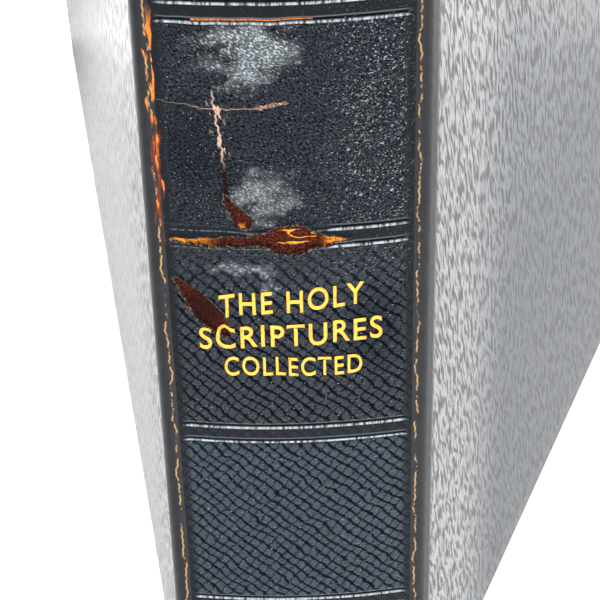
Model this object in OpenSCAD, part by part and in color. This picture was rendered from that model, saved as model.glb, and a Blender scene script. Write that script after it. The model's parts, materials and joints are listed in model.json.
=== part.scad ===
// Leather-bound bible standing on its tail, with its covers splayed and its pages closed.
// X runs through the thickness (+X is the front cover), Y runs from the spine (0) to the
// fore-edge, and Z runs up from the surface that the tail stands on.

/* [Book] */
// Height of the covers, tail to head
book_h = 206; // [150:1:260]
// Depth of each cover, from its hinge line to its fore-edge
cover_depth = 137; // [100:1:180]
// Angle at which the front cover stands open
front_splay = 24; // [8:1:90]
// Angle at which the back cover stands open
back_splay = 8; // [4:1:60]

/* [Covers] */
// Thickness of the leather on the outside of each cover
cover_leather_t = 0.8; // [0.5:0.1:1.5]
// Thickness of the board inside each cover
board_t = 0.9; // [0.6:0.1:2.5]
// Thickness of a pastedown and of the leather that is turned in round it
pastedown_t = 0.3; // [0.2:0.05:0.6]
// Width of the leather that is turned in over the board
turn_in_w = 12; // [6:1:20]
// Radius of the cover corners at the fore-edge
cover_corner_r = 8; // [3:0.5:15]
// Overhang of the covers past the pages on three sides
square_w = 3; // [2.5:0.5:6]

/* [Pages] */
// Sections in each half of the text block
half_sections = 7; // [3:1:12]
// Thickness of one folded section
section_t = 1.95; // [1.2:0.05:3]
// Greatest angle that the pages swing open
leaf_open_max = 18; // [6:1:25]
// Radius of the page corners at the fore-edge
page_corner_r = 7; // [2:0.5:14]
// Thickness of a flyleaf
flyleaf_t = 0.2; // [0.15:0.05:0.4]
// Distance from the folds to the edge that a flyleaf turns on
tip_w = 4; // [3:0.5:8]

/* [Spine] */
// Thickness of the leather on the spine
spine_leather_t = 1.0; // [0.8:0.1:1.5]
// How far the spine bows out at its middle
spine_bow = 1.0; // [0.6:0.1:3]
// Thickness of the card that stiffens the spine
inlay_t = 0.7; // [0.4:0.1:1.2]
// Compartments that the tooled line pairs divide the spine into
compartments = 5; // [3:1:7]
// Distance between the two lines of a pair
line_spacing = 3.3; // [2:0.1:5]
// Width of one tooled line
line_w = 0.9; // [0.5:0.1:1.2]
// Depth of one tooled line
line_depth = 0.35; // [0.1:0.05:0.5]
// Length of the leather turned in at the head and tail of the spine
cap_turn_in = 12; // [6:1:20]

/* [Sewing] */
// Width of a sewing tape
tape_w = 10; // [6:1:16]
// Thickness of a sewing tape
tape_t = 0.25; // [0.2:0.05:0.4]
// Radius of the sewing thread
thread_r = 0.2; // [0.15:0.05:0.3]
// Distance of the kettle stitches from the head and tail of the pages
kettle_inset = 8; // [6:0.5:12]
// Radius of the head and tail bands
band_r = 1.0; // [0.6:0.1:1.1]
// Width of the cloth that holds a band to the spine
band_skirt = 5; // [3:0.5:5.5]

/* [Hidden] */
// clearances
fold_clear = 0.015;    // between neighbouring sections at their widest swing
leaf_gap = 0.08;       // between a flyleaf and the section it lies on
cover_gap = 0.2;       // between a closed cover and its flyleaf
joint_gap = 0.3;       // between the joint roll and the edge of the board slab
spine_gap = 0.15;      // between the spine leather and an opened cover
layer_gap = 0.05;      // between the layers that are glued up behind the spine
pocket_gap = 0.05;     // round the edge of a board or a pastedown in its pocket
seam_gap = 0.02;       // between pieces that all but touch: joint and spine, thread and tape
cap_gap = 2;           // between the turned-in caps or bands and what is glued up between them

// how cutting shapes and joined shapes run into what they meet
overcut = 1;           // past the outside of what a shape cuts
pocket_lap = 0.01;     // of the window's cut into the pocket's
bond = 0.1;            // of one leather shape into the next

// thickness through the closed book
pitch = section_t / cos(leaf_open_max) + fold_clear;
block_half = (half_sections - 0.5) * pitch + section_t / 2;
flyleaf_x = block_half + leaf_gap + flyleaf_t / 2;
cover_t = cover_leather_t + board_t + pastedown_t;
hinge_x = block_half + leaf_gap + flyleaf_t + cover_gap + cover_t / 2;

// the joint between spine and cover
roll_r = cover_t / 2;
slab_start = roll_r + joint_gap;
spine_half = hinge_x - roll_r - spine_gap;
web_t = 0.8;
hinge_inset = 0.6;
web_reach = 1.1 * roll_r;
hinge_y = spine_bow + spine_leather_t + hinge_inset;
web_y = hinge_y - web_reach;

// bowed layers of the spine
bow_r = (spine_half * spine_half + spine_bow * spine_bow) / (2 * spine_bow);
cap_wall = 0.8;
cap_turn_in_t = 0.6;
stiffener_inset = 1.2;
inlay_half = spine_half - stiffener_inset;
tube_half = spine_half - stiffener_inset;
tube_wall = 0.3;
tube_depth = 1.0;
lining_t = 0.2;
mull_t = 0.3;
skirt_t = 0.2;
core_t = 0.6;

// flat layers behind the spine, from the tube to the folds of the sections
tube_y = bow_y(spine_leather_t + inlay_t, tube_half) + 2 * layer_gap;
lining_y = tube_y + tube_depth + layer_gap;
mull_y = lining_y + lining_t + layer_gap;
thread_y = mull_y + mull_t + layer_gap + thread_r;
tape_y = thread_y + thread_r + seam_gap;
fold_y = tape_y + tape_t + layer_gap;
pivot_y = fold_y + section_t / 2;
lining_inset = 0.6;
band_inset = 0.3;
lining_half = block_half - lining_inset;
band_half = block_half - band_inset;

// pages
page_h = book_h - 2 * square_w;
page_edge_y = hinge_y + cover_depth - square_w;
flyleaf_y = fold_y + tip_w;
thread_bite = fold_y - thread_y - seam_gap;

leather_colour = [0.10, 0.11, 0.14];
board_colour = [0.55, 0.48, 0.38];
paper_colour = [0.93, 0.90, 0.82];
cloth_colour = [0.88, 0.85, 0.76];
silk_colour = [0.72, 0.16, 0.14];

// Y of the bowed surface that lies a depth under the outside of the spine, at a given x
function bow_y(depth, x) = bow_r - sqrt((bow_r - depth) * (bow_r - depth) - x * x);

// X of the fold of section i, counted from the middle of the book
function section_x(i) = (i - 0.5) * pitch;

// A plate bowed like the spine, between two depths under its outside
module bowed_plate(depth_0, depth_1, half_w, z_0, z_1) {
    translate([0, 0, z_0]) linear_extrude(z_1 - z_0) intersection() {
        translate([0, bow_r]) difference() {
            circle(bow_r - depth_0, $fn = 720);
            circle(bow_r - depth_1, $fn = 720);
        }
        translate([-half_w, -overcut]) square([2 * half_w, bow_r / 2]);
    }
}

// Outline of a leaf: square at the hinge side, round at both fore-edge corners
module leaf_outline(depth, height, r) {
    square([depth - r, height]);
    translate([depth - 1.5 * r, r]) square([1.5 * r, height - 2 * r]);
    for (z = [r, height - r]) translate([depth - r, z]) circle(r, $fn = 64);
}

// An upright plate: its outline lies in the YZ plane and its thickness runs from x_0 to x_1
module upright(x_0, x_1) {
    translate([x_0, 0, 0]) rotate([90, 0, 90]) linear_extrude(x_1 - x_0) children();
}

// A leaf-shaped plate in a cover's own frame, held in by a margin from the slab's edges
module cover_layer(x_0, x_1, hinge_margin, margin) {
    upright(x_0, x_1) translate([slab_start + hinge_margin, margin])
        leaf_outline(cover_depth - slab_start - hinge_margin - margin,
            book_h - 2 * margin, max(cover_corner_r - margin, 1));
}

// Swings a front cover's own frame to where it stands; the back cover is its mirror image
module front_cover_place() {
    translate([hinge_x, hinge_y, 0]) rotate([0, 0, -front_splay]) children();
}

module back_cover_place() {
    translate([-hinge_x, hinge_y, 0]) rotate([0, 0, back_splay]) mirror([1, 0, 0]) children();
}

// The leather of one cover: outside, edges and turn-ins, with room for board and pastedown
module cover_leather() {
    color(leather_colour) difference() {
        cover_layer(-roll_r, roll_r, 0, 0);
        cover_layer(-roll_r + pastedown_t, roll_r - cover_leather_t, cap_wall, cap_wall);
        cover_layer(-roll_r - overcut, -roll_r + pastedown_t + pocket_lap, cap_wall, turn_in_w);
    }
}

module board() {
    color(board_colour) cover_layer(-roll_r + pastedown_t, roll_r - cover_leather_t,
        cap_wall + pocket_gap, cap_wall + pocket_gap);
}

module pastedown() {
    color(paper_colour) cover_layer(-roll_r, -roll_r + pastedown_t,
        cap_wall + pocket_gap, turn_in_w + pocket_gap);
}

// Leather of the spine, tooled in pairs of lines, with its caps turned in at head and tail
module spine_leather() {
    inside = spine_leather_t + inlay_t;
    color(leather_colour) {
        difference() {
            bowed_plate(0, spine_leather_t, spine_half, 0, book_h);
            for (k = [1:compartments - 1], side = [-1, 1])
                let (z = k * book_h / compartments + side * line_spacing / 2)
                bowed_plate(-overcut, line_depth, spine_half + overcut,
                    z - line_w / 2, z + line_w / 2);
        }
        for (end = [0, 1]) translate([0, 0, end * book_h]) mirror([0, 0, end]) {
            bowed_plate(spine_leather_t - bond, inside + cap_turn_in_t, spine_half, 0, cap_wall);
            bowed_plate(inside, inside + cap_turn_in_t, spine_half, cap_wall - bond, cap_turn_in);
        }
    }
}

// Card glued inside the spine leather
module spine_inlay() {
    color(board_colour) bowed_plate(spine_leather_t, spine_leather_t + inlay_t, inlay_half,
        cap_wall + pocket_gap, book_h - cap_wall - pocket_gap);
}

// Flat paper tube that lets the spine spring away from the sections
module hollow_tube() {
    z = cap_turn_in + cap_gap;
    color(cloth_colour) difference() {
        translate([-tube_half, tube_y, z]) cube([2 * tube_half, tube_depth, book_h - 2 * z]);
        translate([-tube_half + tube_wall, tube_y + tube_wall, z - overcut])
            cube([2 * (tube_half - tube_wall), tube_depth - 2 * tube_wall,
                book_h - 2 * (z - overcut)]);
    }
}

module spine_lining() {
    z = cap_turn_in + cap_gap;
    color(paper_colour) translate([-lining_half, lining_y, z])
        cube([2 * lining_half, lining_t, book_h - 2 * z]);
}

// Open cloth glued over the sewing
module mull() {
    z = square_w + band_skirt + cap_gap;
    color(cloth_colour) translate([-lining_half, mull_y, z])
        cube([2 * lining_half, mull_t, book_h - 2 * z]);
}

// Tapes that the sections are sewn on, one behind each pair of tooled lines
module sewing_tapes() {
    color(cloth_colour) for (k = [1:compartments - 1])
        translate([-lining_half, tape_y, k * book_h / compartments - tape_w / 2])
            cube([2 * lining_half, tape_t, tape_w]);
}

// One stitch over a tape: a straight run with both ends turned in to the fold
module tape_stitch(x, z) {
    run = tape_w / 2 + 2 * thread_r + layer_gap;
    translate([x, thread_y, z - run]) cylinder(r = thread_r, h = 2 * run, $fn = 16);
    for (end = [-run + thread_r, run - thread_r]) translate([x, thread_y, z + end])
        rotate([-90, 0, 0]) cylinder(r = 0.9 * thread_r, h = thread_bite, $fn = 16);
}

// The thread: a stitch over each tape at every fold, and a kettle chain at head and tail
module sewing_thread() {
    color(cloth_colour) {
        for (k = [1:compartments - 1], i = [1:half_sections], side = [-1, 1])
            tape_stitch(side * section_x(i), k * book_h / compartments);
        for (z = [square_w + kettle_inset, book_h - square_w - kettle_inset])
            translate([-section_x(half_sections), thread_y, z]) rotate([0, 90, 0])
                cylinder(r = thread_r, h = 2 * section_x(half_sections), $fn = 16);
    }
}

// Silk band worked over the tail of the sections; the head band is its mirror image
module end_band() {
    z = square_w - layer_gap - band_r;
    color(silk_colour) {
        translate([-band_half, pivot_y, z]) rotate([0, 90, 0])
            cylinder(r = band_r, h = 2 * band_half, $fn = 32);
        translate([-band_half, mull_y, z - core_t / 2]) {
            cube([2 * band_half, pivot_y - mull_y, core_t]);
            cube([2 * band_half, skirt_t, band_skirt + core_t / 2]);
        }
    }
}

module tail_band() {
    end_band();
}

module head_band() {
    translate([0, 0, book_h]) mirror([0, 0, 1]) end_band();
}

// Leather that the front cover turns on, rolled round the hinge line
module front_joint_leather() {
    color(leather_colour) {
        translate([hinge_x, hinge_y, 0]) cylinder(r = roll_r, h = book_h, $fn = 48);
        translate([spine_half + seam_gap, web_y, 0])
            cube([hinge_x - spine_half - seam_gap, web_t, book_h]);
    }
}

module back_joint_leather() {
    mirror([1, 0, 0]) front_joint_leather();
}

module front_cover_leather() {
    front_cover_place() cover_leather();
}

module front_board() {
    front_cover_place() board();
}

module front_pastedown() {
    front_cover_place() pastedown();
}

module back_cover_leather() {
    back_cover_place() cover_leather();
}

module back_board() {
    back_cover_place() board();
}

module back_pastedown() {
    back_cover_place() pastedown();
}

// One folded section of pages, round at its fold
module section_block() {
    color(paper_colour) {
        translate([0, pivot_y, square_w]) cylinder(r = section_t / 2, h = page_h, $fn = 48);
        translate([0, 0, square_w]) upright(-section_t / 2, section_t / 2)
            translate([pivot_y, 0]) leaf_outline(page_edge_y - pivot_y, page_h, page_corner_r);
    }
}

module front_section(i) {
    translate([section_x(i), 0, 0]) section_block();
}

module back_section(i) {
    translate([-section_x(i), 0, 0]) section_block();
}

// A single leaf, round along the edge that it turns on, where it is tipped on to its section
module front_flyleaf() {
    color(paper_colour) translate([flyleaf_x, flyleaf_y, square_w]) {
        cylinder(r = flyleaf_t / 2, h = page_h, $fn = 24);
        upright(-flyleaf_t / 2, flyleaf_t / 2)
            leaf_outline(page_edge_y - flyleaf_y, page_h, page_corner_r);
    }
}

module back_flyleaf() {
    mirror([1, 0, 0]) front_flyleaf();
}

spine_leather();
spine_inlay();
hollow_tube();
spine_lining();
mull();
sewing_tapes();
sewing_thread();
head_band();
tail_band();
front_joint_leather();
back_joint_leather();
front_cover_leather();
front_board();
front_pastedown();
back_cover_leather();
back_board();
back_pastedown();
front_flyleaf();
back_flyleaf();
for (i = [1:half_sections]) {
    front_section(i);
    back_section(i);
}
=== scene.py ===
"""Looks of a leather-bound bible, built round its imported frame.

Lengths are in metres unless a name says mm.
"""
import json
import math

import bpy
from mathutils import Matrix, Vector, noise


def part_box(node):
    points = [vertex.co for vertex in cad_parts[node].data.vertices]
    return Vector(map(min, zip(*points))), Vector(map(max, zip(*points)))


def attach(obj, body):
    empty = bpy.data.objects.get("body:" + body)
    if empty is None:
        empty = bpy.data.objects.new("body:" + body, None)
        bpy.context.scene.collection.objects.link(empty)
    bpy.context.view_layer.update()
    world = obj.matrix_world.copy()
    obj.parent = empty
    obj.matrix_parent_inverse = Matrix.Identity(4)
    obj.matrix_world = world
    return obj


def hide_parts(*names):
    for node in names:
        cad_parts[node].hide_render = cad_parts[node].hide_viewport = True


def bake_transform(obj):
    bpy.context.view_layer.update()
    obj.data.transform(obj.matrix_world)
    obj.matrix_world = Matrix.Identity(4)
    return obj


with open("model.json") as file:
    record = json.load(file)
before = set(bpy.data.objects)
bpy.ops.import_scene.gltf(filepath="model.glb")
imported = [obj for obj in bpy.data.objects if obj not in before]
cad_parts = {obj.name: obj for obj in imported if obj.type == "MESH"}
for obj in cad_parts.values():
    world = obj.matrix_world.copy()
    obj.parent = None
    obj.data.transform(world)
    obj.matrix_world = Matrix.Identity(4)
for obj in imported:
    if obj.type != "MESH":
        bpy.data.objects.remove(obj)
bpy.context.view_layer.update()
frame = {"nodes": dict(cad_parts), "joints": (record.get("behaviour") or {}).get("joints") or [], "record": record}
MM = 0.001

# ---------------------------------------------------------------- sizes read from the frame
HINGES = {j["name"]: j for j in frame["joints"]}
AXIS_X, AXIS_Y = HINGES["front_cover_hinge"]["pos_m"][:2]
FRONT_SPLAY = -HINGES["front_cover_hinge"]["range_deg"][0]
BACK_SPLAY = -HINGES["back_cover_hinge"]["range_deg"][0]
SPINE_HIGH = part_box("spine_leather")[1]
BOOK_H = SPINE_HIGH.z
SPINE_HALF = SPINE_HIGH.x
ROLL_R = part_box("front_joint_leather")[1].x - AXIS_X
COVER_DEPTH = (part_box("back_cover_leather")[1].y - AXIS_Y) / math.cos(math.radians(BACK_SPLAY))
SPINE_BOW = 1.0 * MM
BOW_R = (SPINE_HALF ** 2 + SPINE_BOW ** 2) / (2 * SPINE_BOW)
COVER_LEATHER_T = 0.8 * MM
COVER_CORNER_R = 8 * MM

# ---------------------------------------------------------------- sizes chosen for the looks
COMPARTMENTS = 5
LINE_SPACING_MM = 3.3       # between the two blind lines of a pair
LINE_DEPTH_MM = 0.30
SPINE_COLUMNS = 76
SPINE_SKIN_T = 0.5 * MM
COVER_EDGE_R = 0.75 * MM
COVER_ROWS, COVER_COLUMNS = 40, 24
JOINT_ARC_DEG = 131         # the joint's leather turns this far round its axis on a closed book
JOINT_STEPS = 12
WELD = 0.002 * MM
COVER_GRAIN_MM, SPINE_GRAIN_MM = 0.09, 0.25


# ---------------------------------------------------------------- shader maths
class Value:
    """A shader socket that takes part in arithmetic. Each operation adds its Math node."""

    def __init__(self, tree, socket):
        self.tree, self.socket = tree, socket

    def math(self, operation, *others):
        node = self.tree.nodes.new("ShaderNodeMath")
        node.operation = operation
        for slot, item in zip(node.inputs, (self, *others)):
            plug(self.tree, slot, item)
        return Value(self.tree, node.outputs[0])

    def flip(self, operation, other):
        node = self.tree.nodes.new("ShaderNodeMath")
        node.operation = operation
        plug(self.tree, node.inputs[0], other)
        plug(self.tree, node.inputs[1], self)
        return Value(self.tree, node.outputs[0])

    def __add__(self, other):
        return self.math("ADD", other)

    __radd__ = __add__

    def __mul__(self, other):
        return self.math("MULTIPLY", other)

    __rmul__ = __mul__

    def __sub__(self, other):
        return self.math("SUBTRACT", other)

    def __rsub__(self, other):
        return self.flip("SUBTRACT", other)

    def __truediv__(self, other):
        return self.math("DIVIDE", other)

    def __pow__(self, other):
        return self.math("POWER", other)

    def __abs__(self):
        return self.math("ABSOLUTE")


def plug(tree, slot, item):
    """Links a Value to a socket, or sets the socket's own number or colour."""
    if isinstance(item, Value):
        tree.links.new(item.socket, slot)
    elif item is not None:
        if slot.type == "RGBA" and len(item) == 3:
            item = (*item, 1.0)
        slot.default_value = item


class Paint:
    """One material's node tree."""

    def __init__(self, name):
        self.material = bpy.data.materials.new(name)
        self.material.use_nodes = True
        self.tree = self.material.node_tree
        self.tree.nodes.clear()
        self.out = self.tree.nodes.new("ShaderNodeOutputMaterial")

    def node(self, kind, settings=None, output=0, **inputs):
        """Adds a node: settings first, then inputs by name, with _ for a space."""
        made = self.tree.nodes.new("ShaderNode" + kind)
        for key, setting in (settings or {}).items():
            setattr(made, key, setting)
        for key, item in inputs.items():
            plug(self.tree, made.inputs[key.replace("_", " ")], item)
        return Value(self.tree, made.outputs[output])

    def places(self):
        """Object coordinates in millimetres, as three numbers."""
        coords = self.node("TexCoord", output="Object")
        mm = self.vector("SCALE", coords, Scale=1 / MM)
        made = self.tree.nodes.new("ShaderNodeSeparateXYZ")
        plug(self.tree, made.inputs[0], mm)
        return [Value(self.tree, o) for o in made.outputs]

    def vector(self, operation, first, second=None, Scale=None):
        made = self.tree.nodes.new("ShaderNodeVectorMath")
        made.operation = operation
        plug(self.tree, made.inputs[0], first)
        plug(self.tree, made.inputs[1], second)
        if Scale is not None:
            made.inputs["Scale"].default_value = Scale
        return Value(self.tree, made.outputs[0])

    def join(self, x, y, z):
        return self.node("CombineXYZ", X=x, Y=y, Z=z)

    def noise(self, at, scale, detail=3.0, rough=0.55):
        return self.node("TexNoise", Vector=at, Scale=scale, Detail=detail, Roughness=rough)

    def cells(self, at, scale, feature="F1", output="Distance", randomness=1.0):
        return self.node("TexVoronoi", {"feature": feature}, output, Vector=at, Scale=scale,
                         Randomness=randomness)

    def mix(self, factor, first, second):
        """Mixes two colours."""
        made = self.tree.nodes.new("ShaderNodeMix")
        made.data_type = "RGBA"
        for slot, item in zip((made.inputs[0], made.inputs[6], made.inputs[7]), (factor, first, second)):
            plug(self.tree, slot, item)
        return Value(self.tree, made.outputs[2])

    def bump(self, height, depth_mm, normal=None, strength=1.0):
        return self.node("Bump", Height=height, Distance=depth_mm * MM, Strength=strength, Normal=normal)

    def blend_shaders(self, factor, first, second):
        made = self.tree.nodes.new("ShaderNodeMixShader")
        plug(self.tree, made.inputs[0], factor)
        self.tree.links.new(first.socket, made.inputs[1])
        self.tree.links.new(second.socket, made.inputs[2])
        return Value(self.tree, made.outputs[0])

    def surface(self, shader=None, **inputs):
        shader = shader or self.node("BsdfPrincipled", **inputs)
        self.tree.links.new(shader.socket, self.out.inputs[0])
        return self.material


# ---------------------------------------------------------------- arithmetic for meshes and shaders alike
def least(a, b):
    if isinstance(a, Value):
        return a.math("MINIMUM", b)
    return min(a, b)


def most(a, b):
    if isinstance(a, Value):
        return a.math("MAXIMUM", b)
    return max(a, b)


def sine(a):
    return a.math("SINE") if isinstance(a, Value) else math.sin(a)


def fade(a, start, end):
    """0 before start, 1 after end, smooth between. Start may be above end."""
    if isinstance(a, Value):
        made = a.tree.nodes.new("ShaderNodeMapRange")
        made.interpolation_type = "SMOOTHSTEP"
        plug(a.tree, made.inputs[0], a)
        made.inputs[1].default_value, made.inputs[2].default_value = start, end
        return Value(a.tree, made.outputs[0])
    t = min(max((a - start) / (end - start), 0.0), 1.0)
    return t * t * (3 - 2 * t)


def hypot(a, b):
    return (a * a + b * b) ** 0.5


def wobble(a, seed):
    """An uneven wave between about -1 and 1."""
    return sine(a * 1.9 + seed) * 0.55 + sine(a * 4.7 + seed * 2.3) * 0.45


def reach(x, z, start, end, wide_0, wide_1):
    """How far inside a tapered stroke a point lies, in mm. It is negative outside."""
    dx, dz = end[0] - start[0], end[1] - start[1]
    long = dx * dx + dz * dz
    t = ((x - start[0]) * dx + (z - start[1]) * dz) / long
    t = least(most(t, 0.0), 1.0)
    away = hypot(x - start[0] - t * dx, z - start[1] - t * dz)
    return t * (wide_1 - wide_0) + wide_0 - away


def tooling(x, z):
    """Depth of the blind-tooled lines, 0 to 1, the strip between a pair, and the place across it in mm."""
    pitch = BOOK_H / MM / COMPARTMENTS
    inside = fade(z, pitch * 0.5, pitch * 0.5 + 1) * fade(z, pitch * 4.5, pitch * 4.5 - 1)
    share = z / pitch + 0.5
    across = ((share.math("FRACT") if isinstance(z, Value) else share % 1.0) - 0.5) * pitch
    ends = fade(abs(x), 14.4, 13.4) * (1 - fade(x, 5.6, 4.0) * fade(abs(z - 123.6), 5.0, 3.5) * 0.85) * inside
    line = fade(abs(abs(across) - LINE_SPACING_MM / 2), 0.55, 0.1) * ends
    strip = fade(abs(across), LINE_SPACING_MM / 2 + 1.0, LINE_SPACING_MM / 2) * inside
    return line, strip, across, ends


# strokes of damage on the spine: (start x, z), (end x, z), half widths at start and end
TEARS = (((0.2, 123.2), (4.9, 122.9), 2.8, 0.1), ((0.2, 123.2), (-4.7, 123.8), 2.8, 0.4))
TEAR_TIPS = (((-13.9, 123.0), (-9.6, 122.7), 0.1, 0.75), ((-9.6, 122.7), (-3.2, 123.3), 0.75, 0.9),
             ((2.0, 123.0), (6.6, 122.9), 1.9, 0.1))
SLASH = (((-13.7, 115.2), (-11.9, 111.8), 0.2, 1.3), ((-11.9, 111.8), (-9.8, 107.6), 1.3, 1.7),
         ((-9.8, 107.6), (-8.1, 103.9), 1.7, 0.5))
HOLE = ((-7.4, 131.6), (-5.2, 127.2), 0.25, 1.15)
CRACKS = (((-8.3, 151.0), (-7.4, 139.0), 0.03, 0.08), ((-7.4, 139.0), (-7.1, 131.0), 0.08, 0.2),
          ((-14.4, 149.0), (-8.0, 147.7), -0.06, 0.02), ((-8.0, 147.7), (-2.8, 147.9), 0.02, 0.0),
          ((-12.6, 114.2), (-8.4, 119.0), 0.12, 0.02))


def torn(x, z):
    """How far inside a torn patch a point lies, in mm, with ragged edges."""
    ragged = wobble(x + z * 0.7, 1.3) * 0.22 + wobble(x * 2.7 - z * 3.1, 0.4) * 0.12
    deep = reach(x, z, *TEARS[0])
    for stroke in (TEARS[1], *TEAR_TIPS, *SLASH, HOLE):
        deep = most(deep, reach(x, z, *stroke))
    return deep + ragged


def cracked(x, z):
    """How far inside a crack a point lies, in mm."""
    shift = wobble(z, 2.0) * 0.16
    deep = reach(x + shift, z + wobble(x, 0.7) * 0.14, *CRACKS[0])
    for stroke in CRACKS[1:]:
        deep = most(deep, reach(x + shift, z + wobble(x, 0.7) * 0.14, *stroke))
    return deep


# ---------------------------------------------------------------- mesh tools
def deselect():
    if bpy.context.object and bpy.context.object.mode != "OBJECT":
        bpy.ops.object.mode_set(mode="OBJECT")
    bpy.ops.object.select_all(action="DESELECT")


def named(name):
    """The new active object, with its transform put into its mesh."""
    obj = bpy.context.object
    obj.name = obj.data.name = name
    bpy.ops.object.transform_apply(location=True, rotation=True, scale=True)
    return obj


def box_piece(name, low, high):
    deselect()
    low, high = Vector(low), Vector(high)
    bpy.ops.mesh.primitive_cube_add(size=1, location=(low + high) / 2, scale=high - low)
    return named(name)


def edit(obj, kind, test):
    """Goes into edit mode with just the faces or edges selected whose centre passes a test."""
    deselect()
    obj.select_set(True)
    bpy.context.view_layer.objects.active = obj
    bpy.ops.object.mode_set(mode="EDIT")
    bpy.ops.mesh.select_mode(type="FACE" if kind == "faces" else "EDGE")
    bpy.ops.mesh.select_all(action="DESELECT")
    bpy.ops.object.mode_set(mode="OBJECT")
    mesh = obj.data
    if kind == "faces":
        for face in mesh.polygons:
            face.select = bool(test(face.center, face.normal))
    else:
        for edge in mesh.edges:
            a, b = (mesh.vertices[i].co for i in edge.vertices)
            edge.select = bool(test((a + b) / 2, (b - a).normalized()))
    bpy.ops.object.mode_set(mode="EDIT")


def done():
    bpy.ops.object.mode_set(mode="OBJECT")


def cut(obj, places, normal):
    """Cuts edges across a piece on parallel planes at each place along the normal."""
    edit(obj, "faces", lambda c, n: True)
    for place in places:
        bpy.ops.mesh.select_all(action="SELECT")
        bpy.ops.mesh.bisect(plane_co=Vector(normal) * place, plane_no=normal)
    done()


def sculpt(obj, move):
    """Moves each vertex to where move says, given its place."""
    for vertex in obj.data.vertices:
        vertex.co = move(vertex.co.copy())
    obj.data.update()


def modify(obj, kind, **settings):
    deselect()
    obj.select_set(True)
    bpy.context.view_layer.objects.active = obj
    modifier = obj.modifiers.new(kind.title(), kind)
    for key, setting in settings.items():
        setattr(modifier, key, setting)
    bpy.ops.object.modifier_apply(modifier=modifier.name)


def smooth(obj, degrees=35):
    deselect()
    obj.select_set(True)
    bpy.context.view_layer.objects.active = obj
    bpy.ops.object.shade_smooth_by_angle(angle=math.radians(degrees))


def finish_piece(obj, material, slot_name, *nodes):
    obj.data.materials.clear()
    obj.data.materials.append(material)
    if nodes:
        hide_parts(*nodes)
    return obj


# ---------------------------------------------------------------- camera, lights and stage
CAMERA_ELEVATION, CAMERA_ROLL = math.radians(54), math.radians(-1.61)
CAMERA_DISTANCE, CAMERA_LENS = 0.465, 230.6
CAMERA_TARGET = Vector((0.00103, 0.0011, 0.1098))

# name: place, size and power in watts
SOFT_LIGHTS = {
    "back_right": ((0.95, 0.75, 1.0), (0.8, 0.8), 62),
    "back_left": ((-0.95, 0.75, 1.0), (0.8, 0.8), 38),
    "overhead": ((0.0, 0.1, 1.6), (0.9, 0.9), 5),
    "front": ((-0.2, -1.0, 0.2), (1.2, 0.28), 14),
}
WORLD_LIGHT = 0.25


def make_camera():
    elevation, roll = CAMERA_ELEVATION, CAMERA_ROLL
    back = Vector((0, -math.cos(elevation), math.sin(elevation)))
    across, upward = Vector((1, 0, 0)), Vector((0, math.sin(elevation), math.cos(elevation)))
    right = across * math.cos(roll) + upward * math.sin(roll)
    up = upward * math.cos(roll) - across * math.sin(roll)
    data = bpy.data.cameras.new("camera")
    data.lens, data.sensor_width = CAMERA_LENS, 36
    data.clip_start, data.clip_end = 0.01, 20
    camera = bpy.data.objects.new("camera", data)
    bpy.context.scene.collection.objects.link(camera)
    place = Matrix.Translation(CAMERA_TARGET + back * CAMERA_DISTANCE)
    camera.matrix_world = place @ Matrix((right, up, back)).transposed().to_4x4()
    bpy.context.scene.camera = camera


def soft_light(name, place, size, power, aim=(0, 0.05, 0.1)):
    data = bpy.data.lights.new(name, "AREA")
    data.shape, (data.size, data.size_y), data.energy = "RECTANGLE", size, power
    light = bpy.data.objects.new(name, data)
    bpy.context.scene.collection.objects.link(light)
    light.location = place
    light.rotation_euler = (Vector(place) - Vector(aim)).to_track_quat("Z", "Y").to_euler()


def make_lights():
    for name, (place, size, power) in SOFT_LIGHTS.items():
        soft_light(name, place, size, power)
    world = bpy.data.worlds.new("studio")
    bpy.context.scene.world = world
    world.use_nodes = True
    background = world.node_tree.nodes["Background"]
    background.inputs[0].default_value = (1, 1, 1, 1)
    background.inputs[1].default_value = WORLD_LIGHT
    bpy.context.scene.view_settings.view_transform = "Standard"


def make_floor():
    deselect()
    bpy.ops.mesh.primitive_grid_add(x_subdivisions=8, y_subdivisions=8, size=6, location=(0, 0, 0))
    floor = named("floor")
    paint = Paint("floor_paint")
    x, y, z = paint.places()
    tone = paint.noise(paint.join(x, y, z), 0.02, 2)
    floor.data.materials.append(paint.surface(
        Base_Color=paint.mix(tone, (0.90, 0.90, 0.90), (0.93, 0.93, 0.92)), Roughness=0.8))


# ---------------------------------------------------------------- leather
# painted shade: the dark colour pulled into the creases and hollows of the grain
PAINTED_CREASE_SHADE = (0.0012, 0.0026, 0.0050)
LEATHER = (0.0070, 0.0130, 0.0225)
# painted reflection: a lighter blue-grey for the lower spine
PAINTED_REFLECTION_BLUE = (0.0240, 0.0410, 0.0620)
# painted highlight colour, laid over pebble tops, glints and the lips of the tooled lines
PAINTED_HIGHLIGHT = (0.60, 0.66, 0.70)
FLESH_DARK = (0.016, 0.006, 0.005)
RUST = (0.120, 0.024, 0.012)
ORANGE = (0.66, 0.19, 0.035)
ORANGE_LIT = (0.85, 0.30, 0.03)
SCUFF = (0.60, 0.40, 0.30)
TAN = (0.42, 0.25, 0.115)

COVER_IOR, SPINE_IOR, MATTE_IOR = 1.62, 1.24, 1.06
COVER_SHEEN = 0.35
COVER_LEAN = 0.22           # how far the covers' creases lean, in mm across for each mm of height
DOWN_SLANT = (0.80, 0.595)  # across the creases that run down to the right
RISE_SLANT = (0.86, -0.50)  # across the creases that run up to the right
CROSSED_FROM, CROSSED_TO = 126.0, 108.0     # heights between which the fine grain turns into the crossed one
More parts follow.
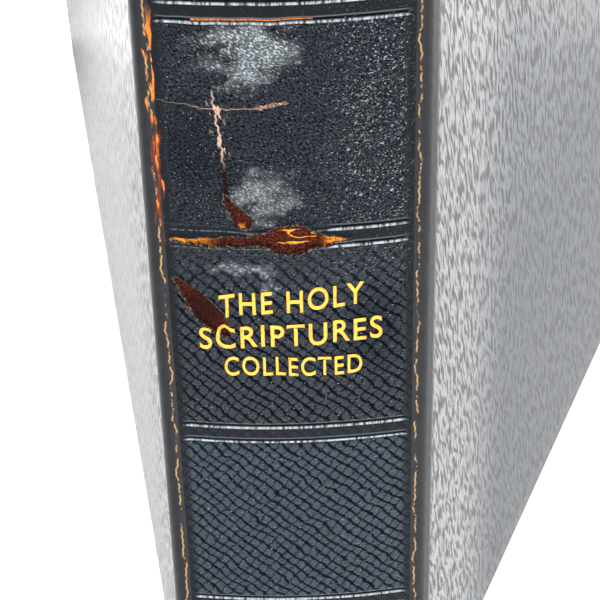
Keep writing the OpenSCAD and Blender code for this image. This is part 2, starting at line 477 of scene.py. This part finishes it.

# oval places on the spine: middle x, z, then half the width and height, all in mm
# the first six ovals place and shape the painted highlights; the gap oval cuts a hole in them
HIGHLIGHT_HEAD = (-4.8, 156.5, 11.0, 10.0)
HIGHLIGHT_OVER_TEAR = (-2.6, 131.6, 7.0, 7.0)
HIGHLIGHT_UNDER_TEAR = (-5.0, 117.3, 7.0, 4.0)
HIGHLIGHT_GAP = (-8.8, 154.6, 4.5, 4.0)
# painted highlight streaks along the right side
HIGHLIGHT_RIGHT = (9.5, 149.0, 5.0, 17.0)
LIT_HEAD = (-3.0, 159.0, 15.0, 11.0)
SHADE_LEFT = (-11.0, 140.0, 6.5, 11.0)
SHADE_RIGHT = (10.0, 104.0, 6.0, 16.0)
TEAR_CORE = (0.4, 123.3, 3.6, 1.9)
TEAR_JOINT = (-5.6, 125.6, 1.3, 1.1)
# painted shadow inside the deep part of the slash
SLASH_SHADOW = (-10.5, 109.0, 4.0, 8.0)

# surface marks, as strokes: start, end, half widths at start and end
SCAR = ((-3.0, 148.0), (0.0, 148.7), 0.35, 0.25)
STREAK = ((-10.0, 163.15), (3.2, 163.15), 0.14, 0.05)

# the rubbed shoulders: how far out they lie, and the heights of the flayed strip, in mm
SCUFF_X, FLAYED_X = 15.3, 15.05
FLAYED_LOW, FLAYED_HIGH = (121.0, 127.0), (166.0, 160.0)


def crossed_grain(paint, x, z):
    """Pebbles between two families of slanting creases: 0 in the creases to 1 on top."""
    flat = paint.join(x, z, 0.0)
    warp = paint.noise(flat, 0.20, 2) - 0.5
    jog = paint.noise(flat, 0.9, 2) - 0.5
    down = (x * DOWN_SLANT[0] + z * DOWN_SLANT[1]) * 2.1
    rise = (x * RISE_SLANT[0] + z * RISE_SLANT[1]) * 2.4
    down = fade(abs(sine(down + warp * 4.0 + jog * 1.3)), 0.0, 0.80)
    rise = fade(abs(sine(rise - warp * 3.0 - jog * 1.5)), 0.0, 0.75)
    fine = fade(paint.noise(flat, 2.3, 3, 0.65), 0.28, 0.62)
    return down * (rise * 0.65 + 0.35) * (fine * 0.65 + 0.35)


def fine_grain(paint, x, z):
    """Small pebbles lying in slanting rows."""
    slant = paint.join((x * DOWN_SLANT[0] + z * DOWN_SLANT[1]) * 1.6, x * 0.55 - z * 0.65, 0.0)
    pebbles = fade(paint.cells(slant, 1.8, "DISTANCE_TO_EDGE"), 0.0, 0.42)
    return pebbles * 0.4 + fade(paint.noise(slant, 2.3, 3, 0.6), 0.25, 0.75) * 0.6


def long_grain(paint, u, z):
    """Short creases drawn out along a cover's height: 0 in a crease, 1 on the ground between."""
    sway = paint.noise(paint.join(u * 0.25, z * 0.12, 0.0), 1.0, 1) - 0.5
    lean = u + z * COVER_LEAN + sway * 1.6
    slits = fade(paint.noise(paint.join(lean * 1.75, z * 0.26, 0.0), 1.0, 1, 0.4), 0.34, 0.56)
    cross = fade(paint.noise(paint.join((lean - z * 0.10) * 1.9, z * 0.34, 3.0), 1.0, 1, 0.5), 0.32, 0.52)
    return slits * (cross * 0.4 + 0.6)


def patch(x, z, middle_x, middle_z, wide, tall):
    """1 in the middle of an oval patch of leather, fading to 0 at its edge."""
    return fade(hypot((x - middle_x) / wide, (z - middle_z) / tall), 1.0, 0.15)


def flesh_and_scuffs(paint, x, z, colour, gloss):
    """The torn places of the spine, over its colour and gloss."""
    inside = torn(x, z)
    raw = fade(inside, -0.05, 0.12)
    at = paint.join(x, z, 0.0)
    fibre = paint.noise(at, 2.8, 4, 0.7)
    wave = paint.noise(paint.join(x * 0.8, z * 1.5, 0.0), 0.42, 1, 0.5)
    core = patch(x, z, *TEAR_CORE)
    squiggle = fade(abs(wave - 0.5), 0.05, 0.015) * fade(core, 0.1, 0.35) * fade(fibre, 0.36, 0.5)
    wick = fade(x, -8.0, -13.0) * fade(z, 119.5, 121.0) + fade(x, 3.6, 5.4)
    joint = patch(x, z, *TEAR_JOINT)
    lit = most(squiggle, most(wick * fade(fibre, 0.35, 0.55), joint * fade(fibre, 0.4, 0.5)))
    deep = patch(x, z, *SLASH_SHADOW)
    # painted shadow: the slash's flesh is pulled to the dark colour in its deep part
    flesh = paint.mix(fade(fibre, 0.42, 0.66) * (1 - deep * 0.8), FLESH_DARK, RUST)
    flesh = paint.mix(lit, flesh, ORANGE_LIT)
    split = fade(cracked(x, z), -0.14, 0.04)
    near = fade(reach(x, z, *CRACKS[0]), -1.1, -0.3)
    scar = reach(x, z, *SCAR) + wobble(x * 2.0, 1.0) * 0.12
    scar = fade(scar, -0.1, 0.1)
    flakes = near * fade(paint.noise(paint.join(x * 1.5, z * 0.42, 0.0), 1.1, 2, 0.6), 0.56, 0.62)
    streak = fade(reach(x, z, *STREAK), -0.12, 0.1)
    rim = fade(abs(inside + 0.16), 0.14, 0.02) * fade(fibre, 0.46, 0.6)
    colour = paint.mix(flakes * 0.8, colour, SCUFF)
    colour = paint.mix(scar * 0.85, colour, paint.mix(fade(fibre, 0.40, 0.55), SCUFF, RUST))
    colour = paint.mix(streak * fade(fibre, 0.34, 0.56), colour, ORANGE)
    colour = paint.mix(split * 0.85, colour, paint.mix(fade(z, 141.0, 136.0), SCUFF, FLESH_DARK))
    colour = paint.mix(rim * 0.5, colour, TAN)
    colour = paint.mix(raw, colour, flesh)
    dull = most(raw * fade(fibre, 0.75, 0.62), most(split, flakes))
    return colour, gloss * (1 - dull), fibre * raw - raw * 0.6 - split


def cover_leather(paint, x, y, z):
    """Colour, height of the grain and gloss of a cover, with painted shade in its creases and along the hinge."""
    top = long_grain(paint, y * 1.05, z)
    far = fade(y, 9.0, 32.0) * (fade(z, 130.0, 60.0) * 0.35 + 0.30)
    top = top + (0.72 - top) * far
    shoulder = fade(y, 4.4, 3.2)
    top = top + (0.5 - top) * shoulder * 0.85
    # painted shade: creases take the dark shade colour, and the shoulder along the hinge is darkened further
    colour = paint.mix(top * 0.9 - shoulder * 0.5, PAINTED_CREASE_SHADE, LEATHER)
    right = fade(x, 5.0, 12.0)
    dulled = fade(y, 12.0, 30.0) * right * (fade(z, 130.0, 60.0) * 0.12 + 0.30)
    dulled = dulled + fade(x, -1.0, -15.0) * fade(y + z * 0.7, 110.0, 142.0) * 0.5
    gloss = (top * 0.55 + 0.45) * (1 - dulled) * (1 - shoulder * 0.6)
    return colour, top, gloss


def spine_leather(paint, x, z):
    """Colour, height of the grain and gloss of the spine, before its damage, with painted highlights and painted
    shade.
    """
    at = paint.join(x, z, 0.0)
    line, strip, across, ends = tooling(x, z)
    crossed = fade(z, CROSSED_FROM, CROSSED_TO)
    top = fine_grain(paint, x, z) * (1 - crossed) + crossed_grain(paint, x, z) * crossed
    calm = most(strip, fade(abs(x), 13.2, 14.2))
    top = top + (0.5 - top) * calm * 0.85
    # mottle that varies only the painted highlights and sheen
    highlight_blotch = paint.noise(at, 0.45, 3) - 0.5
    u = x + (paint.noise(at, 0.16, 3, 0.6) - 0.5) * 13.0
    v = z + (paint.noise(paint.join(x, z, 5.0), 0.16, 3, 0.6) - 0.5) * 15.0
    # painted highlight patches, their outlines warped by noise
    highlight_spread = most(patch(u, v, *HIGHLIGHT_HEAD), patch(u, v, *HIGHLIGHT_OVER_TEAR))
    highlight_spread = highlight_spread * (1 - patch(u, v, *HIGHLIGHT_GAP) * 0.9)
    highlight_spread = most(highlight_spread, patch(u, v, *HIGHLIGHT_UNDER_TEAR) * 0.8)
    soft = highlight_spread * (1 - calm)
    highlight_spread = most(highlight_spread, patch(u, v, *HIGHLIGHT_RIGHT) * 0.6)
    highlight_spread = (highlight_spread + (1 - crossed) * 0.10) * (1 - calm)
    # painted highlights: bright pebble tops inside the highlight patches
    lit = fade(top + (paint.noise(at, 2.1, 2, 0.6) - 0.5) * 1.1 + highlight_spread * 0.5 + highlight_blotch * 0.5, 0.80, 1.45)
    lit = lit * fade(highlight_spread, 0.0, 0.8) * (patch(x, z, *LIT_HEAD) * 0.30 + 0.35)
    # painted glints: scattered bright specks, plus slanting streaks of them on the right
    right = fade(x, 2.0, 9.0) * (1 - crossed)
    glint = paint.noise(paint.join(x * 1.6 - z * 1.0, x * 0.6 + z * 0.7, 0.0), 1.1, 3, 0.6)
    glint_specks = fade(paint.noise(at, 3.4, 2, 0.5) + right * 0.035, 0.665, 0.735)
    glint_specks = most(glint_specks, fade(glint, 0.60, 0.70) * right * 0.8) * (1 - calm * 0.8)
    # painted highlights along the lower and upper lips of the tooled lines, broken into beads
    bead = fade(paint.noise(paint.join(x * 1.3, z * 0.3, 0.0), 1.8, 3, 0.65), 0.36, 0.60) * 0.75 + 0.05
    low_lip_highlight = fade(abs(abs(across + 0.42) - LINE_SPACING_MM / 2), 0.20, 0.04) * ends * bead
    high_lip_highlight = fade(abs(abs(across - 0.62) - LINE_SPACING_MM / 2), 0.22, 0.05) * ends * 0.10
    # painted reflection: the spine turns lighter blue-grey below about 80 mm
    body = paint.mix(fade(z, 85.0, 78.0), LEATHER, PAINTED_REFLECTION_BLUE)
    # painted shade: creases take the dark shade colour, and the calm strips between tooled lines and along the
    # spine's edges are darkened
    colour = paint.mix(top * 0.95 - calm * 0.4, PAINTED_CREASE_SHADE, body)
    # painted sheen over the soft highlight patches; the next line gathers every painted highlight
    sheen = fade(soft + highlight_blotch * 1.2, 0.25, 1.25) * (top * 0.4 + 0.6) * 0.20
    painted_highlights = most(most(glint_specks * 0.6, lit + sheen), most(low_lip_highlight, high_lip_highlight))
    # painted highlights laid over the leather's colour
    colour = paint.mix(painted_highlights, colour, PAINTED_HIGHLIGHT)
    shade = most(patch(x, z, *SHADE_LEFT), patch(x, z, *SHADE_RIGHT))
    gloss = fade(top, 0.10, 0.62) * (1 - line * 0.7) * (1 - most(calm * 0.55, shade * 0.5))
    return colour, top, gloss


def leather(name, cover):
    """Leather of a cover or of the spine, with its rubbed shoulders and its damage."""
    paint = Paint(name)
    x, y, z = paint.places()
    at = paint.join(x, y, z)
    colour, top, gloss = cover_leather(paint, x, y, z) if cover else spine_leather(paint, x, z)
    rough = 0.26 - top * 0.06 if cover else 0.44 - top * 0.14
    edge = abs(x) + wobble(z * 0.21, 1.0) * 0.20 + wobble(z * 0.83, 3.0) * 0.10
    wear = fade(paint.noise(at, 0.5, 4, 0.7), 0.42, 0.54)
    scuffed = fade(abs(edge - SCUFF_X), 0.16, 0.04) * fade(y, 3.2, 2.2) * wear
    streaks = paint.noise(paint.join(x * 1.8, y * 1.8, z * 0.20), 0.8, 4, 0.65)
    left = fade(abs(x + FLAYED_X + wobble(z * 0.3, 5.0) * 0.25), 0.64, 0.40) * fade(y, 3.2, 2.4)
    flayed = left * fade(z, *FLAYED_LOW) * fade(z, *FLAYED_HIGH) * fade(streaks, 0.50, 0.55)
    bared = paint.mix(most(fade(z, 143.0, 148.0), fade(streaks, 0.60, 0.66)), RUST, ORANGE)
    colour = paint.mix(scuffed * 0.8, colour, TAN)
    colour = paint.mix(flayed, colour, bared)
    gloss = gloss * (1 - most(scuffed, flayed) * 0.8)
    bump = paint.bump(top, COVER_GRAIN_MM if cover else SPINE_GRAIN_MM)
    if not cover:
        colour, gloss, relief = flesh_and_scuffs(paint, x, z, colour, gloss)
        bump = paint.bump(relief, 0.10, bump)
    glossy = paint.node("BsdfPrincipled", Base_Color=colour, Roughness=rough, Normal=bump,
                        IOR=COVER_IOR if cover else SPINE_IOR, Sheen_Roughness=0.12,
                        Sheen_Weight=COVER_SHEEN if cover else 0.0)
    matte = paint.node("BsdfPrincipled", Base_Color=colour, Roughness=0.8, Normal=bump, IOR=MATTE_IOR,
                       Specular_IOR_Level=0.0 if cover else 0.5)
    return paint.surface(paint.blend_shaders(gloss, matte, glossy))


# ---------------------------------------------------------------- the case
# soft swells and one hollow of the spine: rise, middle x, z, half width and height, all in mm
DENTS = ((0.5, -7.5, 156.5, 5.0, 4.0), (0.4, -4.5, 129.0, 3.0, 4.5), (-0.35, -1.0, 147.0, 5.0, 3.5))

# heights of the spine's rows in mm: over the tooled lines, over the tear, and elsewhere
ROW_LINES, ROW_TEAR, ROW_PLAIN = 0.16, 0.34, 0.62
LINED_LOW, LINED_HIGH = 30, 176
TORN_LOW, TORN_HIGH = 100, 134


def dents_mm(x, z):
    """How far the handled leather stands proud of the even bow, in mm."""
    wave = noise.noise(Vector((x * 0.11, z * 0.07, 4.0))) * 0.16
    handled = fade(x, 9.0, -2.0) * fade(z, 116.0, 128.0) * fade(z, 172.0, 160.0)
    crease = noise.noise(Vector((x * 0.30, z * 0.22, 9.0))) * 0.42 * handled
    swell = sum(rise * math.exp(-(((x - middle_x) / wide) ** 2 + ((z - middle_z) / tall) ** 2))
                for rise, middle_x, middle_z, wide, tall in DENTS)
    return wave + crease + swell


def spine_depth_mm(x, z):
    """How far the spine's leather lies inside its even bow, in mm, at a place in mm."""
    line = tooling(x, z)[0]
    inside = torn(x, z)
    lip = 0.16 * math.exp(-((inside + 0.25) / 0.3) ** 2)
    raw = fade(inside, -0.1, 0.35) * (0.42 + 0.10 * noise.noise(Vector((x * 1.4, z * 1.4, 2.0))))
    split = fade(cracked(x, z), -0.2, 0.1) * 0.18
    calm = fade(abs(x), 14.6, 12.5)
    return line * LINE_DEPTH_MM + raw + split - lip - dents_mm(x, z) * calm * 0.6 + 0.10


def row_heights():
    """Heights of the spine's rows in mm: close over the tooled lines and the torn patch."""
    top = BOOK_H / MM
    heights, z = [0.0], 0.0
    while z < top - 0.3:
        off = abs((z / (top / COMPARTMENTS) + 0.5) % 1.0 - 0.5) * top / COMPARTMENTS
        fine = off < LINE_SPACING_MM / 2 + 0.9 and LINED_LOW < z < LINED_HIGH
        z += ROW_LINES if fine else ROW_TEAR if TORN_LOW < z < TORN_HIGH else ROW_PLAIN
        heights.append(min(z, top))
    heights[-1] = top
    return heights


def spine_y(x, z, depth_mm=0.0):
    """Y of the spine's outside at a place in metres, a depth in mm under it."""
    return BOW_R - math.sqrt(BOW_R ** 2 - x * x) + (spine_depth_mm(x / MM, z / MM) + depth_mm) * MM


# how the leather turns over at a cap: steps inwards, then along the spine, in mm
CAP_STEPS_MM = ((0.9, 0.0), (0.8, 0.25), (0.35, 1.2), (0.0, 10.0))


def spine_skin():
    """The spine's leather, with its tooling and damage cut in, turned over at head and tail."""
    rows = row_heights()
    last = len(rows) - 1
    deselect()
    bpy.ops.mesh.primitive_grid_add(x_subdivisions=SPINE_COLUMNS, y_subdivisions=last, size=1,
                                    location=(0, 0, 0))
    skin = named("spine_skin")

    def place(co):
        x = co.x * 2 * SPINE_HALF
        z = rows[round((co.y + 0.5) * last)] * MM
        z = min(max(z, 0.05 * MM), BOOK_H - 0.05 * MM)
        fall = 0.04 * fade(abs(x), SPINE_HALF - 0.3 * MM, SPINE_HALF)
        near_end = fade(min(z, BOOK_H - z), 1.2 * MM, 0.0) * 0.7
        return Vector((x, spine_y(x, z, fall + near_end), z))

    sculpt(skin, place)
    for end, sign in ((BOOK_H, -1), (0.0, 1)):
        edit(skin, "edges", lambda c, d: abs(c.z - end) < 0.06 * MM and abs(d.z) < 0.5)
        for inward, along in CAP_STEPS_MM:
            bpy.ops.mesh.extrude_region_move(
                TRANSFORM_OT_translate={"value": (0, inward * MM, sign * along * MM)})
        done()
    edit(skin, "faces", lambda c, n: True)
    bpy.ops.mesh.normals_make_consistent(inside=False)
    done()
    modify(skin, "SOLIDIFY", thickness=SPINE_SKIN_T, offset=-1)
    smooth(skin, 60)
    finish_piece(skin, leather("spine_leather_finish", cover=False), "cover_leather", "spine_leather")
    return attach(skin, "spine")


def cover_skin(side):
    """Leather of one cover with its joint, made flat and then swung to its place."""
    splay = math.radians(FRONT_SPLAY if side == "front" else BACK_SPLAY)
    start, depth = ROLL_R + 0.3 * MM, COVER_DEPTH
    inner = -ROLL_R + 0.04 * MM
    skin = box_piece(side + "_cover_skin", (inner, start, 0), (ROLL_R, depth, BOOK_H))
    edit(skin, "edges", lambda c, d: abs(d.x) > 0.9 and c.y > depth - MM)
    bpy.ops.mesh.bevel(offset=COVER_CORNER_R, offset_type="OFFSET", segments=12, affect="EDGES")
    done()
    edit(skin, "edges", lambda c, d: abs(d.x) < 0.1 and c.y > start + 0.1 * MM)
    bpy.ops.mesh.bevel(offset=COVER_EDGE_R, offset_type="OFFSET", segments=4, affect="EDGES")
    done()
    cut(skin, [ROLL_R - COVER_LEATHER_T], (1, 0, 0))
    edit(skin, "faces", lambda c, n: n.y < -0.9 and c.x > ROLL_R - COVER_LEATHER_T)
    bpy.ops.mesh.extrude_region_move(TRANSFORM_OT_translate={"value": (0, -start, 0)})
    turn = math.radians(JOINT_ARC_DEG) - splay
    bpy.ops.mesh.spin(steps=JOINT_STEPS, angle=turn, center=(0, 0, 0), axis=(0, 0, 1))
    done()
    cut(skin, [BOOK_H * k / COVER_ROWS for k in range(1, COVER_ROWS)], (0, 0, 1))
    cut(skin, [start + (depth - start) * k / COVER_COLUMNS for k in range(1, COVER_COLUMNS)], (0, 1, 0))

    def settle(co):
        angle = math.atan2(-co.y, co.x)
        if co.y < -1e-7 or (co.y < 1e-7 and co.x < 0):
            if angle < 0:
                angle += 2 * math.pi
            share = min(max(angle / turn, 0), 1)
            out = math.hypot(co.x, co.y)
            stretch = out + share ** 2 * 0.88 * MM
            return Vector((co.x / out * stretch, co.y / out * stretch, co.z))
        wave = noise.noise(Vector((co.y * 22, co.z * 17, 3.0 if side == "front" else 8.0))) * 0.16 * MM
        flat = fade(co.y / MM, 3.0, 12.0) * fade((depth - co.y) / MM, 1.0, 9.0)
        flat *= fade(min(co.z, BOOK_H - co.z) / MM, 1.0, 9.0)
        return Vector((co.x - (abs(wave) + 0.02 * MM) * flat * (1 if co.x > 0 else 0), co.y, co.z))

    sculpt(skin, settle)
    swing = Matrix.Translation((AXIS_X, AXIS_Y, 0)) @ Matrix.Rotation(-splay, 4, "Z")
    if side == "back":
        swing = Matrix.Scale(-1, 4, (1, 0, 0)) @ swing
    skin.data.transform(swing)
    edit(skin, "faces", lambda c, n: True)
    bpy.ops.mesh.remove_doubles(threshold=WELD)
    bpy.ops.mesh.normals_make_consistent(inside=False)
    done()
    smooth(skin, 40)
    finish_piece(skin, leather(side + "_cover_finish", cover=True), "cover_leather",
                 side + "_cover_leather", side + "_joint_leather")
    mirror = 1 if side == "front" else -1
    along = Vector((math.sin(splay), math.cos(splay)))
    end = (mirror * (AXIS_X + along.x * start - 0.15 * MM), AXIS_Y + along.y * start, 0)
    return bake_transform(skin)


# ---------------------------------------------------------------- gold title
def gold():
    paint = Paint("gold_foil_finish")
    x, y, z = paint.places()
    at = paint.join(x, y, z)
    mottle = paint.noise(at, 1.6, 4, 0.65)
    worn = fade(mottle, 0.60, 0.72)
    colour = paint.mix(mottle, (0.86, 0.52, 0.040), (0.50, 0.26, 0.03))
    colour = paint.mix(worn * 0.7, colour, (0.05, 0.03, 0.015))
    return paint.surface(Base_Color=colour, Metallic=0.55, Roughness=0.38 + mottle * 0.2,
                         Normal=paint.bump(mottle, 0.02))


# word, then the middle's x and z, the width, the letters' height and the rise, in mm
TITLE_LINES = (("THE HOLY", 0.0, 110.9, 17.6, 4.6, 1.9), ("SCRIPTURES", -0.2, 103.9, 22.4, 4.6, 1.2),
               ("COLLECTED", 0.0, 97.3, 17.0, 4.0, -0.4))
FOIL_T = 0.05 * MM


def title_line(word, middle_x, middle_z, wide, letter_h, rise):
    """One line of capitals in the plane y = 0, fitted to a width, height and rise, all in mm."""
    deselect()
    bpy.ops.object.text_add()
    text = bpy.context.object
    text.data.body, text.data.offset, text.data.space_character = word, 0.012, 1.15
    bpy.ops.object.convert(target="MESH")
    line = bpy.context.object
    places = [vertex.co for vertex in line.data.vertices]
    low = [min(co[i] for co in places) for i in (0, 1)]
    high = [max(co[i] for co in places) for i in (0, 1)]
    for co in places:
        across = (co.x - low[0]) / (high[0] - low[0]) - 0.5
        up = (co.y - low[1]) / (high[1] - low[1]) - 0.5
        wave = wobble(across * wide * 0.28, middle_z) * 0.22 + across * rise
        co.x, co.y, co.z = (middle_x + across * wide) * MM, 0, (middle_z + up * letter_h + wave) * MM
    return line


def title():
    """Three gilt lines pressed into the middle compartment."""
    lines = [title_line(*line) for line in TITLE_LINES]
    deselect()
    for line in lines:
        line.select_set(True)
    bpy.context.view_layer.objects.active = lines[0]
    bpy.ops.object.join()
    foil = named("gold_title")
    edit(foil, "faces", lambda c, n: True)
    bpy.ops.mesh.quads_convert_to_tris()
    done()
    cut(foil, [k * 0.5 * MM for k in range(-24, 25)], (1, 0, 0))
    cut(foil, [k * 0.5 * MM for k in range(188, 232)], (0, 0, 1))
    sculpt(foil, lambda co: Vector((co.x, spine_y(co.x, co.z, -0.03), co.z)))
    edit(foil, "faces", lambda c, n: True)
    bpy.ops.mesh.remove_doubles(threshold=WELD)
    bpy.ops.mesh.normals_make_consistent(inside=False)
    done()
    if foil.data.polygons[0].normal.y > 0:
        foil.data.flip_normals()
    modify(foil, "SOLIDIFY", thickness=FOIL_T, offset=-1)
    finish_piece(foil, gold(), "gold_foil")
    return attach(foil, "spine")


# ---------------------------------------------------------------- paper, cloth and thread
def pages_finish():
    """Paper on the faces, worn gilt over red on the cut edges, with a line for every few leaves."""
    paint = Paint("gilt_pages")
    x, y, z = paint.places()
    at = paint.join(x, y, z)
    normal = paint.node("TexCoord", output="Normal")
    split = paint.tree.nodes.new("ShaderNodeSeparateXYZ")
    plug(paint.tree, split.inputs[0], normal)
    face = fade(abs(Value(paint.tree, split.outputs[0])), 0.6, 0.8)
    leaves = paint.noise(paint.join(x * 9.0, y * 0.05, z * 0.05), 1.0, 3, 0.7)
    rub = fade(paint.noise(at, 0.16, 4, 0.65), 0.58, 0.74)
    foxing = fade(paint.noise(at, 0.12, 5, 0.7), 0.56, 0.72)
    paper = paint.mix(foxing * 0.5, (0.36, 0.32, 0.24), (0.27, 0.20, 0.12))
    gilt = paint.mix(leaves, (0.19, 0.115, 0.036), (0.11, 0.062, 0.019))
    gilt = paint.mix(rub * leaves, gilt, (0.10, 0.034, 0.018))
    return paint.surface(
        Base_Color=paint.mix(face, gilt, paper), Metallic=(1 - face) * (1 - rub * 0.5) * 0.65,
        Roughness=0.48 + face * 0.38 + leaves * 0.12, Normal=paint.bump(leaves, 0.05))


def endpaper_finish():
    paint = Paint("aged_endpaper")
    x, y, z = paint.places()
    at = paint.join(x, y, z)
    fibre = paint.noise(at, 2.4, 5, 0.7)
    foxing = fade(paint.noise(at, 0.09, 5, 0.7), 0.54, 0.74)
    stain = fade(paint.noise(at, 0.03, 2), 0.45, 0.75)
    colour = paint.mix(stain, (0.35, 0.32, 0.25), (0.29, 0.245, 0.17))
    colour = paint.mix(foxing * 0.6, colour, (0.23, 0.15, 0.08))
    return paint.surface(Base_Color=colour, Roughness=0.85 + fibre * 0.1, Normal=paint.bump(fibre, 0.02))


def weave_finish(name, light, dark, pitch_mm):
    paint = Paint(name)
    x, y, z = paint.places()
    turns = 2 * math.pi / pitch_mm
    over = sine(x * turns) * sine(z * turns) * 0.5 + 0.5
    fuzz = paint.noise(paint.join(x, y, z), 2.5, 4, 0.6)
    colour = paint.mix(over * 0.6 + fuzz * 0.4, dark, light)
    return paint.surface(Base_Color=colour, Roughness=0.9 - over * 0.1, Normal=paint.bump(over, 0.06))


def board_finish():
    paint = Paint("grey_board")
    x, y, z = paint.places()
    fibre = paint.noise(paint.join(x * 3.0, y, z), 1.2, 5, 0.7)
    colour = paint.mix(fibre, (0.38, 0.30, 0.21), (0.52, 0.44, 0.33))
    return paint.surface(Base_Color=colour, Roughness=0.9 - fibre * 0.1, Normal=paint.bump(fibre, 0.03))


def silk_finish():
    paint = Paint("striped_silk")
    x, y, z = paint.places()
    stripe = fade(sine(x * 2.1), -0.12, 0.12)
    thread = sine(x * 16.0) * 0.5 + 0.5
    colour = paint.mix(stripe, (0.48, 0.045, 0.035), (0.80, 0.66, 0.38))
    colour = paint.mix(thread * 0.35, colour, (0.08, 0.03, 0.02))
    return paint.surface(Base_Color=colour, Roughness=0.45 + thread * 0.15, Normal=paint.bump(thread, 0.06))


def dress_cad_nodes():
    """Gives every CAD node that still shows its finish."""
    pages, endpaper, board = pages_finish(), endpaper_finish(), board_finish()
    linen = weave_finish("linen_tape", (0.82, 0.76, 0.62), (0.45, 0.38, 0.27), 0.7)
    mull = weave_finish("mull_cloth", (0.75, 0.70, 0.58), (0.28, 0.23, 0.15), 1.1)
    thread = weave_finish("sewing_thread", (0.84, 0.80, 0.70), (0.50, 0.44, 0.34), 0.5)
    lining = weave_finish("kraft_lining", (0.56, 0.42, 0.26), (0.44, 0.32, 0.19), 2.3)
    silk = silk_finish()
    finishes = {"pages": pages, "endpaper": endpaper, "board": board, "tape_linen": linen, "mull_cloth": mull,
                "thread": thread, "lining_paper": lining, "band_silk": silk}
    for part in frame["record"]["subparts"]:
        finish = finishes.get(part["material_slot"])
        if finish:
            mesh = frame["nodes"][part["node"]].data
            mesh.materials.clear()
            mesh.materials.append(finish)


make_camera()
make_lights()
make_floor()
dress_cad_nodes()
spine_skin()
cover_skin("front")
cover_skin("back")
title()
